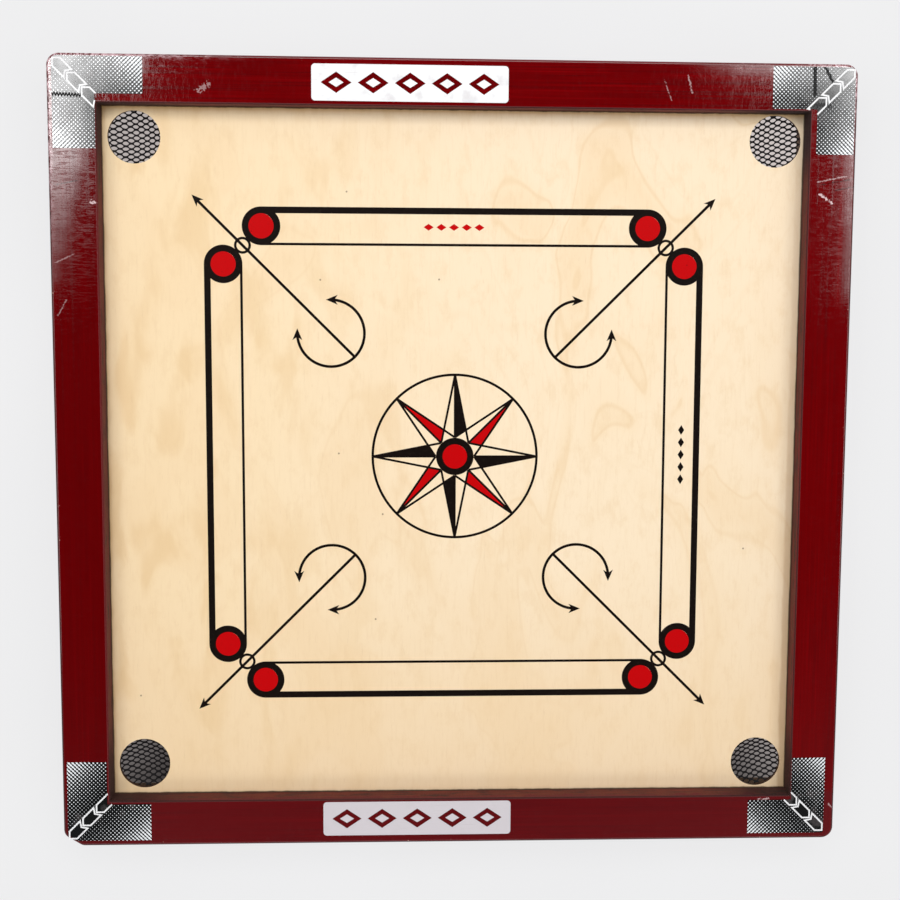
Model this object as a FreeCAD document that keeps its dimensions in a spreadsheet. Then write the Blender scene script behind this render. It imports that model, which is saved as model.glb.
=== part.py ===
import FreeCAD, Part
import functools
import math
import os
import Sketcher

# Carrom board, 26 inches square, lying flat and ready to play on.
#
# Frame: millimetres, +Z up, +X to the right and +Y away from the near player.
# The origin is the middle of the board on the surface that it stands on.
#
# Four rails are half-lapped at the corners and hold the plywood playing panel in a groove.
# Four battens, half-lapped where they cross, back the panel. A net is stapled under each pocket.

doc = FreeCAD.newDocument("carrom_board")

DRIVING_DIMENSIONS = {
    "board_side": 660.4,
    "rail_width": 39.0,
    "frame_height": 44.0,
    "lip_height": 19.0,
    "panel_thickness": 4.0,
    "panel_edge_gap": 0.5,
    "groove_depth": 8.0,
    "corner_round": 10.0,
    "worn_corner_x": 15.5,
    "worn_corner_y": 9.5,
    "worn_corner_round": 8.0,
    "outer_edge_round": 2.0,
    "inner_edge_round": 0.8,
    "pocket_diameter": 43.0,
    "batten_width": 30.0,
    "batten_thickness": 16.0,
    "batten_offset": 110.0,
    "net_thickness": 1.0,
    "net_sag": 9.0,
    "net_mouth_radius": 22.0,
    "net_rim_radius": 25.5,
    "staple_circle": 23.8,
    "staple_crown": 8.0,
    "staple_leg": 4.0,
    "staple_radius": 0.5,
    "nail_radius": 1.3,
    "nail_head_radius": 3.0,
    "nail_head_thickness": 1.0,
    "nail_point": 4.0,
    "corner_nail_length": 36.0,
    "corner_nail_spread": 8.0,
    "batten_nail_length": 64.0,
    "sticker_thickness": 0.2,
    "transfer_thickness": 0.3,
    "transfer_length": 160.0,
    "transfer_width": 29.5,
    "transfer_corner_round": 3.0,
    "lozenge_length": 25.0,
    "lozenge_width": 17.0,
    "lozenge_spacing": 30.0,
}

STAPLES_PER_NET = 4
LOZENGES = 5

# The four corners as the near player sees them, with the signs of X and Y there.
CORNERS = {"far_left": (-1, 1), "far_right": (1, 1), "near_left": (-1, -1), "near_right": (1, -1)}

# The pockets were cut by hand, so each is at its own distance from the board's middle along X and Y.
POCKETS = {
    "far_left": (264.7, 265.5),
    "far_right": (266.8, 268.1),
    "near_left": (264.6, 264.6),
    "near_right": (264.7, 267.4),
}

# The corner stickers were cut and laid by hand, so each has its own places along X and Y:
# its outer corner, its inner corner, the ends of its two arms and what is snipped off outside.
STICKERS = {
    "far_left": {"outer": (326.0, 328.0), "inner": (292.0, 298.3), "end": (253.6, 254.7), "snip": (3.0, 2.5)},
    "far_right": {"outer": (328.0, 327.6), "inner": (296.8, 293.2), "end": (259.4, 256.5), "snip": (3.0, 3.0)},
    "near_left": {"outer": (326.3, 325.5), "inner": (293.2, 293.8), "end": (256.6, 256.8), "snip": (8.0, 5.0)},
    "near_right": {"outer": (321.4, 325.0), "inner": (292.5, 295.3), "end": (255.0, 258.0), "snip": (1.0, 1.0)},
}

# The middle of the white ornament on the far and on the near rail.
TRANSFERS = {"far_rail_transfer": (-38.3, 309.7), "near_rail_transfer": (-30.9, -308.4)}

# Places that several pieces share, worked out from the driving dimensions.
HALF_BOARD = "Sheet.board_side / 2"
HALF_OPENING = "(Sheet.board_side / 2 - Sheet.rail_width)"
RAIL_MIDDLE = "(Sheet.board_side / 2 - Sheet.rail_width / 2)"
PANEL_TOP = "(Sheet.frame_height - Sheet.lip_height)"
PANEL_BOTTOM = "(Sheet.frame_height - Sheet.lip_height - Sheet.panel_thickness)"
BATTEN_BOTTOM = f"({PANEL_BOTTOM} - Sheet.batten_thickness)"

Z_AXIS = FreeCAD.Vector(0, 0, 1)
UPSIDE_DOWN = FreeCAD.Rotation(FreeCAD.Vector(1, 0, 0), 180)


# --- the spreadsheet ---


def make_sheet():
    """The spreadsheet that holds the driving dimensions, and each pocket's and sticker's own places."""
    cells = dict(DRIVING_DIMENSIONS)
    for corner, (x, y) in POCKETS.items():
        cells[f"{corner}_pocket_x"] = x
        cells[f"{corner}_pocket_y"] = y
    for corner, places in STICKERS.items():
        for place, (x, y) in places.items():
            cells[f"{corner}_{place}_x"] = x
            cells[f"{corner}_{place}_y"] = y
    sheet = doc.addObject("Spreadsheet::Sheet", "Sheet")
    for row, (alias, value) in enumerate(cells.items(), start=1):
        sheet.set(f"A{row}", alias)
        sheet.set(f"B{row}", str(value))
        sheet.setAlias(f"B{row}", alias)
    doc.recompute()


def make_calculator():
    """An object with one number, which any expression of the sheet can drive."""
    calculator = doc.addObject("App::VarSet", "Calculator")
    calculator.addProperty("App::PropertyFloat", "Result")
    return calculator


make_sheet()
CALCULATOR = make_calculator()


@functools.lru_cache(maxsize=None)
def value_of(expression):
    """The number that an expression of the sheet gives."""
    CALCULATOR.setExpression("Result", expression)
    CALCULATOR.recompute()
    return CALCULATOR.Result


def pocket_middle(corner):
    """The expressions for where a pocket's middle is along X and along Y."""
    side_x, side_y = CORNERS[corner]
    return f"{side_x} * Sheet.{corner}_pocket_x", f"{side_y} * Sheet.{corner}_pocket_y"


# --- helpers for bodies ---


def make_body(label, x="0", y="0", z="0", angle=0.0):
    """An empty body, turned by angle degrees about +Z, at a place given by expressions."""
    body = doc.addObject("PartDesign::Body", label)
    body.Label = label
    body.Placement = FreeCAD.Placement(FreeCAD.Vector(0, 0, 0), FreeCAD.Rotation(Z_AXIS, angle))
    for axis, expression in zip("xyz", (x, y, z)):
        body.setExpression(f"Placement.Base.{axis}", expression)
    return body


def make_sketch(body, name, plane="XY_Plane", height="0"):
    """A sketch on one of the body's own origin planes, raised by an expression."""
    sketch = body.newObject("Sketcher::SketchObject", f"{body.Name}_{name}")
    support = next(item for item in body.Origin.OriginFeatures if item.Role == plane)
    sketch.AttachmentSupport = [(support, "")]
    sketch.MapMode = "FlatFace"
    sketch.setExpression("AttachmentOffset.Base.z", height)
    return sketch


def hold_point(sketch, geometry, end, x, y):
    """Hold one point of a sketch's geometry at a place given by two expressions."""
    for kind, expression in (("DistanceX", x), ("DistanceY", y)):
        constraint = Sketcher.Constraint(kind, -1, 1, geometry, end, value_of(expression))
        index = sketch.addConstraint(constraint)
        sketch.setExpression(f"Constraints[{index}]", expression)


def draw_outline(sketch, corners):
    """A closed outline of straight lines whose corners are pairs of expressions."""
    points = [FreeCAD.Vector(value_of(x), value_of(y), 0) for x, y in corners]
    following = points[1:] + points[:1]
    lines = [sketch.addGeometry(Part.LineSegment(a, b)) for a, b in zip(points, following)]
    for line, next_line, corner in zip(lines, lines[1:] + lines[:1], corners):
        sketch.addConstraint(Sketcher.Constraint("Coincident", line, 2, next_line, 1))
        hold_point(sketch, line, 1, *corner)


def draw_rectangle(sketch, low, high):
    """A rectangle between two opposite corners, each a pair of expressions."""
    draw_outline(sketch, [low, (high[0], low[1]), high, (low[0], high[1])])


def draw_circle(sketch, x, y, diameter):
    """A circle around a place given by two expressions."""
    middle = FreeCAD.Vector(value_of(x), value_of(y), 0)
    circle = sketch.addGeometry(Part.Circle(middle, Z_AXIS, value_of(diameter) / 2))
    hold_point(sketch, circle, 3, x, y)
    index = sketch.addConstraint(Sketcher.Constraint("Diameter", circle, value_of(diameter)))
    sketch.setExpression(f"Constraints[{index}]", diameter)


def draw_bowl_arc(sketch, bottom, side):
    """An arc around the sketch's upright axis, from a point on that axis to a point beside it."""
    low = FreeCAD.Vector(value_of(bottom[0]), value_of(bottom[1]), 0)
    high = FreeCAD.Vector(value_of(side[0]), value_of(side[1]), 0)
    rise = high.y - low.y
    radius = (high.x**2 + rise**2) / (2 * rise)
    circle = Part.Circle(FreeCAD.Vector(0, low.y + radius, 0), Z_AXIS, radius)
    end_angle = math.atan2(high.y - circle.Center.y, high.x)
    arc = sketch.addGeometry(Part.ArcOfCircle(circle, -math.pi / 2, end_angle))
    hold_point(sketch, arc, 1, *bottom)
    hold_point(sketch, arc, 2, *side)
    sketch.addConstraint(Sketcher.Constraint("PointOnObject", arc, 3, -2))
    return arc


def add_pad(body, sketch, length):
    """Extrude a sketch upwards by an expression."""
    pad = body.newObject("PartDesign::Pad", f"{sketch.Name}_pad")
    pad.Profile = sketch
    pad.setExpression("Length", length)
    doc.recompute()
    return pad


def add_pocket(body, sketch, length, midplane=False, upwards=False):
    """Cut a sketch out of the body, and make sure that it takes material away."""
    before = body.Shape.Volume
    pocket = body.newObject("PartDesign::Pocket", f"{sketch.Name}_pocket")
    pocket.Profile = sketch
    pocket.Midplane = midplane
    pocket.Reversed = upwards
    pocket.setExpression("Length", length)
    doc.recompute()
    if body.Shape.Volume > before - 1.0:
        raise RuntimeError(f"{pocket.Name} cuts nothing")
    return pocket


def add_fillet(body, name, radius, is_wanted):
    """Round the body's edges whose bounding box is wanted."""
    base = body.Tip
    edges = enumerate(base.Shape.Edges, start=1)
    fillet = body.newObject("PartDesign::Fillet", f"{body.Name}_{name}")
    fillet.Base = (base, [f"Edge{number}" for number, edge in edges if is_wanted(edge.BoundBox)])
    fillet.setExpression("Radius", radius)
    doc.recompute()
    return fillet


def is_near(value, expression):
    return abs(value - value_of(expression)) < 0.01


def is_upright(box):
    return box.XLength < 0.01 and box.YLength < 0.01


def cut_away(label, body, fasteners):
    """The body with the holes that its nails or staples made, as the finished piece."""
    piece = doc.addObject("Part::Cut", label)
    piece.Label = label
    piece.Base = body
    piece.Tool = fasteners
    return piece


def join(label, kind, members):
    """Several objects as one: a Part::MultiFuse or a Part::Compound."""
    joined = doc.addObject(kind, label)
    joined.Label = label
    if kind == "Part::Compound":
        joined.Links = members
    else:
        joined.Shapes = members
    return joined


# --- fasteners ---


def make_cylinder(name, radius, height, low_end="0"):
    """A Part cylinder along +Z whose sizes and low end are expressions."""
    cylinder = doc.addObject("Part::Cylinder", name)
    cylinder.setExpression("Radius", radius)
    cylinder.setExpression("Height", height)
    cylinder.setExpression("Placement.Base.z", low_end)
    return cylinder


def make_nail(name, length, position, direction):
    """A round nail with a flat head at position, driven in along direction."""
    head = make_cylinder(f"{name}_head", "Sheet.nail_head_radius", "Sheet.nail_head_thickness")
    shank = make_cylinder(f"{name}_shank", "Sheet.nail_radius", f"{length} - Sheet.nail_point")
    point = doc.addObject("Part::Cone", f"{name}_point")
    point.setExpression("Radius1", "Sheet.nail_radius")
    point.Radius2 = 0
    point.setExpression("Height", "Sheet.nail_point")
    point.setExpression("Placement.Base.z", f"{length} - Sheet.nail_point")
    nail = join(name, "Part::MultiFuse", [head, shank, point])
    nail.Placement = FreeCAD.Placement(position, FreeCAD.Rotation(Z_AXIS, direction))
    return nail


def make_corner_nails():
    """Two nails at each corner, driven up from below through the half lap."""
    middle = value_of(RAIL_MIDDLE)
    spread = value_of("Sheet.corner_nail_spread")
    nails = []
    for corner, (side_x, side_y) in CORNERS.items():
        for step in (-spread, spread):
            position = FreeCAD.Vector(side_x * (middle + step), side_y * (middle - step), 0)
            name = f"corner_nail_{len(nails)}"
            nails.append(make_nail(name, "Sheet.corner_nail_length", position, Z_AXIS))
    return join("corner_nails", "Part::Compound", nails)


def make_batten_nails():
    """One nail through the rail into each end of each batten."""
    half_board = value_of(HALF_BOARD)
    height = value_of(f"{BATTEN_BOTTOM} + Sheet.batten_thickness / 2")
    nails = []
    for quarter in range(4):
        turn = FreeCAD.Rotation(Z_AXIS, 90 * quarter)
        inwards = turn.multVec(FreeCAD.Vector(-1, 0, 0))
        for side in (-1, 1):
            along = side * value_of("Sheet.batten_offset")
            position = turn.multVec(FreeCAD.Vector(half_board, along, height))
            name = f"batten_nail_{len(nails)}"
            nails.append(make_nail(name, "Sheet.batten_nail_length", position, inwards))
    return join("batten_nails", "Part::Compound", nails)


def make_staple(name, middle, angle):
    """A wire staple across the net's rim, with its legs up in the panel."""
    half_crown = "Sheet.staple_crown / 2"
    crown = make_cylinder(f"{name}_crown", "Sheet.staple_radius", "Sheet.staple_crown")
    crown.Placement.Rotation = FreeCAD.Rotation(FreeCAD.Vector(1, 0, 0), -90)
    crown.setExpression("Placement.Base.y", f"-{half_crown}")
    members = [crown]
    for side, sign in (("low", "-"), ("high", "")):
        knee = doc.addObject("Part::Sphere", f"{name}_{side}_knee")
        knee.setExpression("Radius", "Sheet.staple_radius")
        leg_length = "Sheet.staple_leg + Sheet.staple_radius"
        leg = make_cylinder(f"{name}_{side}_leg", "Sheet.staple_radius", leg_length)
        for part in (knee, leg):
            part.setExpression("Placement.Base.y", f"{sign}{half_crown}")
            members.append(part)
    staple = join(name, "Part::MultiFuse", members)
    staple.Placement = FreeCAD.Placement(middle, FreeCAD.Rotation(Z_AXIS, angle))
    return staple


def make_net_staples():
    """The staples that hold the four nets, in a ring around each pocket."""
    height = value_of(f"{PANEL_BOTTOM} - Sheet.net_thickness - Sheet.staple_radius")
    ring = FreeCAD.Vector(value_of("Sheet.staple_circle"), 0, 0)
    staples = []
    for corner in CORNERS:
        x, y = pocket_middle(corner)
        pocket = FreeCAD.Vector(value_of(x), value_of(y), height)
        for number in range(STAPLES_PER_NET):
            angle = (number + 0.5) * 360 / STAPLES_PER_NET
            middle = pocket + FreeCAD.Rotation(Z_AXIS, angle).multVec(ring)
            staples.append(make_staple(f"net_staple_{len(staples)}", middle, angle))
    return join("net_staples", "Part::Compound", staples)


# --- wooden pieces ---


def is_outer_corner(box):
    """Whether an edge stands upright at an outer corner of the board."""
    reach_y = max(abs(box.YMin), abs(box.YMax))
    return is_upright(box) and is_near(box.XMax, HALF_BOARD) and is_near(reach_y, HALF_BOARD)


def is_top_outer_edge(box):
    """Whether an edge of a rail's top face runs along the outside of the board."""
    at_top = box.ZLength < 0.01 and is_near(box.ZMax, "Sheet.frame_height")
    past_inner_edge = box.XMax > value_of(HALF_OPENING) + 1
    past_opening = max(abs(box.YMin), abs(box.YMax)) > value_of(HALF_OPENING) + 1
    return at_top and past_inner_edge and (past_opening or is_near(box.XMin, HALF_BOARD))


def is_top_inner_edge(box):
    """Whether an edge of a rail's top face runs along the playing recess."""
    at_top = box.ZLength < 0.01 and is_near(box.ZMax, "Sheet.frame_height")
    return at_top and is_near(box.XMax, HALF_OPENING)


def make_rail(label, angle, laps_over, worn_corner=None):
    """One rail, drawn along Y on the right-hand side of the board and turned into its place.

    A rail that laps over has its long half on top; the others have it below. The worn corner
    is the sign of its Y on the drawing, and what is lost there along X and along Y.
    """
    body = make_body(f"{label}_stock", angle=angle)
    upper_half, lower_half = (HALF_BOARD, HALF_OPENING) if laps_over else (HALF_OPENING, HALF_BOARD)
    lower = make_sketch(body, "lower")
    draw_rectangle(lower, (HALF_OPENING, f"-{lower_half}"), (HALF_BOARD, lower_half))
    add_pad(body, lower, PANEL_BOTTOM)
    upper = make_sketch(body, "upper", height=PANEL_BOTTOM)
    draw_rectangle(upper, (HALF_OPENING, f"-{upper_half}"), (HALF_BOARD, upper_half))
    add_pad(body, upper, f"Sheet.frame_height - {PANEL_BOTTOM}")
    groove = make_sketch(body, "groove", plane="XZ_Plane")
    groove_floor = f"{HALF_OPENING} + Sheet.groove_depth"
    draw_rectangle(groove, (HALF_OPENING, PANEL_BOTTOM), (groove_floor, PANEL_TOP))
    add_pocket(body, groove, f"2 * ({groove_floor})", midplane=True)
    if worn_corner:
        cut_worn_corner(body, *worn_corner)
        round_worn_corner(body, *worn_corner)
    add_fillet(body, "corners", "Sheet.corner_round", is_outer_corner)
    add_fillet(body, "outside", "Sheet.outer_edge_round", is_top_outer_edge)
    add_fillet(body, "inside", "Sheet.inner_edge_round", is_top_inner_edge)
    return body


def cut_worn_corner(body, side, loss_x, loss_y):
    """Take the knocked corner off a rail with one slanting cut."""
    sign = "-" if side < 0 else ""
    corner_y = f"{sign}{HALF_BOARD}"
    cut = make_sketch(body, "worn_corner", height="Sheet.frame_height")
    corners = [
        (f"{HALF_BOARD} - {loss_x}", corner_y),
        (HALF_BOARD, f"{sign}({HALF_BOARD} - {loss_y})"),
        (HALF_BOARD, corner_y),
    ]
    draw_outline(cut, corners)
    add_pocket(body, cut, "Sheet.frame_height")


def round_worn_corner(body, side, loss_x, loss_y):
    """Round the two upright edges where the slanting cut meets the rail's sides."""

    def is_worn_edge(box):
        on_outside = is_near(box.XMax, HALF_BOARD) and is_near(side * box.YMax, f"{HALF_BOARD} - {loss_y}")
        on_end = is_near(box.XMax, f"{HALF_BOARD} - {loss_x}") and is_near(side * box.YMax, HALF_BOARD)
        return is_upright(box) and (on_outside or on_end)

    add_fillet(body, "worn", "Sheet.worn_corner_round", is_worn_edge)


def make_playing_panel():
    """The plywood panel, with its edges in the rails' grooves and a round hole at each corner."""
    body = make_body("playing_panel_stock")
    outline = make_sketch(body, "outline", height=PANEL_BOTTOM)
    reach = f"({HALF_OPENING} + Sheet.groove_depth - Sheet.panel_edge_gap)"
    draw_rectangle(outline, (f"-{reach}", f"-{reach}"), (reach, reach))
    add_pad(body, outline, "Sheet.panel_thickness")
    holes = make_sketch(body, "pockets", height=PANEL_TOP)
    for corner in CORNERS:
        draw_circle(holes, *pocket_middle(corner), "Sheet.pocket_diameter")
    add_pocket(body, holes, "Sheet.panel_thickness")
    return body


def make_batten(label, angle, side, notched_above):
    """A backing batten along X at one side of the middle, turned by angle about +Z.

    It is notched to half its thickness where the two battens of the other direction cross it.
    """
    body = make_body(f"{label}_stock", angle=angle)
    middle = f"{side} * Sheet.batten_offset"
    low_y = f"{middle} - Sheet.batten_width / 2"
    high_y = f"{middle} + Sheet.batten_width / 2"
    bar = make_sketch(body, "bar", height=BATTEN_BOTTOM)
    draw_rectangle(bar, (f"-{HALF_OPENING}", low_y), (HALF_OPENING, high_y))
    add_pad(body, bar, "Sheet.batten_thickness")
    notches = make_sketch(body, "notches", height=PANEL_BOTTOM if notched_above else BATTEN_BOTTOM)
    for notch_side in (-1, 1):
        low_x = f"{notch_side} * Sheet.batten_offset - Sheet.batten_width / 2"
        high_x = f"{notch_side} * Sheet.batten_offset + Sheet.batten_width / 2"
        draw_rectangle(notches, (low_x, low_y), (high_x, high_y))
    add_pocket(body, notches, "Sheet.batten_thickness / 2", upwards=not notched_above)
    return body


# --- nets, stickers and painted ornament ---


def make_net(corner):
    """A pocket net as one shallow bowl with a flat rim against the panel's underside."""
    label = f"pocket_net_{corner}_stock"
    body = make_body(label, *pocket_middle(corner), PANEL_BOTTOM)
    section = make_sketch(body, "section", plane="XZ_Plane")
    underside = "-Sheet.net_thickness"
    bottom = "-Sheet.net_sag - Sheet.net_thickness"
    inside = draw_bowl_arc(section, ("0", "-Sheet.net_sag"), ("Sheet.net_mouth_radius", "0"))
    outside = draw_bowl_arc(section, ("0", bottom), ("Sheet.net_mouth_radius", underside))
    corners = [
        ("Sheet.net_mouth_radius", "0"),
        ("Sheet.net_rim_radius", "0"),
        ("Sheet.net_rim_radius", underside),
        ("Sheet.net_mouth_radius", underside),
    ]
    points = [FreeCAD.Vector(value_of(x), value_of(y), 0) for x, y in corners]
    rim = [section.addGeometry(Part.LineSegment(a, b)) for a, b in zip(points, points[1:])]
    low = FreeCAD.Vector(0, value_of(bottom), 0)
    axis_line = section.addGeometry(Part.LineSegment(low, FreeCAD.Vector(0, value_of("-Sheet.net_sag"), 0)))
    hold_point(section, rim[1], 1, *corners[1])
    hold_point(section, rim[1], 2, *corners[2])
    joints = [
        (inside, 2, rim[0], 1),
        (rim[0], 2, rim[1], 1),
        (rim[1], 2, rim[2], 1),
        (rim[2], 2, outside, 2),
        (outside, 1, axis_line, 1),
        (axis_line, 2, inside, 1),
    ]
    for joint in joints:
        section.addConstraint(Sketcher.Constraint("Coincident", *joint))
    bowl = body.newObject("PartDesign::Revolution", f"{label}_bowl")
    bowl.Profile = section
    bowl.ReferenceAxis = (section, ["V_Axis"])
    bowl.Angle = 360
    doc.recompute()
    furthest = max(value_of(f"Sheet.{corner}_pocket_{axis}") for axis in "xy")
    if furthest + value_of("Sheet.net_rim_radius") > value_of(HALF_OPENING):
        trim_rim(body, *pocket_middle(corner))
    return body


def trim_rim(body, x, y):
    """Cut a net's rim off where it would reach into the rails."""
    rails = make_sketch(body, "rails")
    for reach in (HALF_OPENING, HALF_BOARD):
        draw_rectangle(rails, (f"-{reach} - ({x})", f"-{reach} - ({y})"), (f"{reach} - ({x})", f"{reach} - ({y})"))
    add_pocket(body, rails, "Sheet.net_thickness")


def make_sticker(corner):
    """A thin vinyl sticker in the shape of an L on one corner of the frame."""
    body = make_body(f"corner_sticker_{corner}")
    sketch = make_sketch(body, "outline", height="Sheet.frame_height")
    signs = dict(zip("xy", CORNERS[corner]))

    def at(place, axis, snip=False):
        """One coordinate of a named place, drawn in where the corner is snipped off."""
        loss = f" - Sheet.{corner}_snip_{axis}" if snip else ""
        return f"{signs[axis]} * (Sheet.{corner}_{place}_{axis}{loss})"

    corners = [
        (at("outer", "x"), at("outer", "y", snip=True)),
        (at("outer", "x"), at("end", "y")),
        (at("inner", "x"), at("end", "y")),
        (at("inner", "x"), at("inner", "y")),
        (at("end", "x"), at("inner", "y")),
        (at("end", "x"), at("outer", "y")),
        (at("outer", "x", snip=True), at("outer", "y")),
    ]
    draw_outline(sketch, corners)
    add_pad(body, sketch, "Sheet.sticker_thickness")
    return body


def make_transfer(label, centre):
    """A white ornament on a rail: a plaque with a row of lozenge-shaped windows."""
    body = make_body(label, str(centre[0]), str(centre[1]))
    sketch = make_sketch(body, "outline", height="Sheet.frame_height")
    half_length = "Sheet.transfer_length / 2"
    half_width = "Sheet.transfer_width / 2"
    draw_rectangle(sketch, (f"-{half_length}", f"-{half_width}"), (half_length, half_width))
    for number in range(LOZENGES):
        middle = f"{number - (LOZENGES - 1) / 2} * Sheet.lozenge_spacing"
        corners = [
            (f"{middle} - Sheet.lozenge_length / 2", "0"),
            (middle, "-Sheet.lozenge_width / 2"),
            (f"{middle} + Sheet.lozenge_length / 2", "0"),
            (middle, "Sheet.lozenge_width / 2"),
        ]
        draw_outline(sketch, corners)
    add_pad(body, sketch, "Sheet.transfer_thickness")

    def is_plaque_corner(box):
        return is_upright(box) and is_near(abs(box.XMax), half_length)

    add_fillet(body, "corners", "Sheet.transfer_corner_round", is_plaque_corner)
    return body


# --- the whole board ---


def make_pieces():
    """Every piece of the board, each under its own label."""
    corner_nails = make_corner_nails()
    batten_nails = make_batten_nails()
    net_staples = make_net_staples()
    frame_nails = join("frame_nails", "Part::Compound", [corner_nails, batten_nails])
    pieces = [corner_nails, batten_nails, net_staples]

    near_left_x = "Sheet.worn_corner_x"
    near_left_y = "Sheet.worn_corner_y"
    rails = {
        "right_rail": make_rail("right_rail", 0, True),
        "far_rail": make_rail("far_rail", 90, False),
        "left_rail": make_rail("left_rail", 180, True, (1, near_left_x, near_left_y)),
        "near_rail": make_rail("near_rail", 270, False, (-1, near_left_y, near_left_x)),
    }
    pieces += [cut_away(label, stock, frame_nails) for label, stock in rails.items()]

    battens = {
        "batten_near": make_batten("batten_near", 0, -1, False),
        "batten_far": make_batten("batten_far", 0, 1, False),
        "batten_right": make_batten("batten_right", 90, -1, True),
        "batten_left": make_batten("batten_left", 90, 1, True),
    }
    pieces += [cut_away(label, stock, batten_nails) for label, stock in battens.items()]

    pieces.append(cut_away("playing_panel", make_playing_panel(), net_staples))
    for corner in CORNERS:
        pieces.append(cut_away(f"pocket_net_{corner}", make_net(corner), net_staples))
        pieces.append(make_sticker(corner))
    pieces += [make_transfer(label, centre) for label, centre in TRANSFERS.items()]
    return pieces


def check_document(pieces):
    """Stop if any object failed, or any piece has no valid shape."""
    for item in doc.Objects:
        if "Invalid" in item.State or "Error" in item.State:
            raise RuntimeError(f"{item.Name} failed: {item.State}")
    for piece in pieces:
        if piece.Shape.isNull() or not piece.Shape.isValid():
            raise RuntimeError(f"{piece.Label} has no valid shape")


def main():
    pieces = make_pieces()
    doc.recompute()
    check_document(pieces)
    os.makedirs("parts", exist_ok=True)
    for piece in pieces:
        piece.Shape.exportStep(f"parts/{piece.Label}.step")
        print(f"{piece.Label:28s} {len(piece.Shape.Solids):3d} solid(s) {piece.Shape.Volume / 1000:9.2f} cm3")


main()
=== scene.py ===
import math

import bmesh
import bpy
from mathutils import Matrix, Vector, noise


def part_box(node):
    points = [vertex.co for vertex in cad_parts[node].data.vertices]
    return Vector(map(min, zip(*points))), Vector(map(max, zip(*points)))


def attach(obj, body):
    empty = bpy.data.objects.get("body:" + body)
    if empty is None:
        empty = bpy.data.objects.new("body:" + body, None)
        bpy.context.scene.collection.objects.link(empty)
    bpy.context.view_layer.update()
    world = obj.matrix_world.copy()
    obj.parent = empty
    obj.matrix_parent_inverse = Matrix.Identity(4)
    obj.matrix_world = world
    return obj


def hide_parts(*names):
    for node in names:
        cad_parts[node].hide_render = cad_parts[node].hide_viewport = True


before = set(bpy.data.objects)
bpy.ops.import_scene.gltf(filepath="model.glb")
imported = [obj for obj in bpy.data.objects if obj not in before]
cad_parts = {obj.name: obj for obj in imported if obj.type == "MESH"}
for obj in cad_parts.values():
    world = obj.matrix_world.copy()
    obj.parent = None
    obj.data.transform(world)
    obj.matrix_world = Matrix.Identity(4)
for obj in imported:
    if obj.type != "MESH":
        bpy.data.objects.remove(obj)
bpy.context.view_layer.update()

# Carrom board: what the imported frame's solids can't show. Sizes and places are in millimetres of
# the frame, +Z up, +X to the right and +Y away from the near player, and meshes are made in metres.

MM = 0.001


def box_mm(node):
    """The lowest and the highest corner of a CAD node, in millimetres."""
    low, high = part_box(node)
    return low / MM, high / MM


def middle_mm(node):
    """The middle of a CAD node's box, in millimetres."""
    low, high = box_mm(node)
    return (low + high) / 2


PANEL_TOP = box_mm("playing_panel")[1].z
PANEL_BOTTOM = box_mm("playing_panel")[0].z
HALF_OPENING = box_mm("right_rail")[0].x
HALF_BOARD = box_mm("right_rail")[1].x
RAIL_TOP = box_mm("far_rail")[1].z
CORNERS = {"far_left": (-1, 1), "far_right": (1, 1), "near_left": (-1, -1), "near_right": (1, -1)}
# How far each net's rim reaches out from the middle of its pocket.
NET_RIM = 25.5


def pocket_middle(corner):
    """The middle of a pocket, reckoned from the two sides of its net that no rail cuts short."""
    low, high = box_mm(f"pocket_net_{corner}")
    side_x, side_y = CORNERS[corner]
    x = (low.x if side_x > 0 else high.x) + side_x * NET_RIM
    y = (low.y if side_y > 0 else high.y) + side_y * NET_RIM
    return Vector((x, y))


# --- colours, written as they look on a screen ---


def screen(red, green, blue):
    """A colour given as screen values up to 255, as the linear colour that the shaders need."""
    values = [value / 255 for value in (red, green, blue)]
    linear = [v / 12.92 if v <= 0.04045 else ((v + 0.055) / 1.055) ** 2.4 for v in values]
    return (*linear, 1.0)


# --- shader fields ---


class Field:
    """A number that varies over a surface, made by shader nodes. Fields add and multiply as numbers do."""

    def __init__(self, tree, socket):
        self.tree = tree
        self.socket = socket

    def math(self, operation, *others):
        """The result of one operation on this number and others, which are fields or numbers."""
        node = self.tree.nodes.new("ShaderNodeMath")
        node.operation = operation
        for slot, value in zip(node.inputs, (self, *others)):
            plug(value, slot)
        return Field(self.tree, node.outputs[0])

    def __add__(self, other):
        return self.math("ADD", other)

    def __sub__(self, other):
        return self.math("SUBTRACT", other)

    def __mul__(self, other):
        return self.math("MULTIPLY", other)

    def __truediv__(self, other):
        return self.math("DIVIDE", other)

    def __rsub__(self, other):
        return self * -1.0 + other

    def absolute(self):
        return self.math("ABSOLUTE")

    def fraction(self):
        return self.math("FRACT")

    def square(self):
        return self * self

    def root(self):
        return self.math("SQRT")

    def lowest(self, other):
        return self.math("MINIMUM", other)

    def highest(self, other):
        return self.math("MAXIMUM", other)

    def rise(self, start, end):
        """0 up to start, 1 from end, and smooth between. It falls instead where end is below start."""
        node = self.tree.nodes.new("ShaderNodeMapRange")
        node.interpolation_type = "SMOOTHSTEP"
        falls = end < start
        plug(self, node.inputs["Value"])
        node.inputs["From Min"].default_value = min(start, end)
        node.inputs["From Max"].default_value = max(start, end)
        node.inputs["To Min"].default_value = 1.0 if falls else 0.0
        node.inputs["To Max"].default_value = 0.0 if falls else 1.0
        return Field(self.tree, node.outputs["Result"])


def plug(value, slot):
    """Give a shader input a number, a colour or a field."""
    if isinstance(value, Field):
        value.tree.links.new(value.socket, slot)
    else:
        slot.default_value = value


def split(tree, vector):
    """The x, the y and the z of a vector, as fields."""
    node = tree.nodes.new("ShaderNodeSeparateXYZ")
    tree.links.new(vector, node.inputs[0])
    return [Field(tree, socket) for socket in node.outputs]


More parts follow.
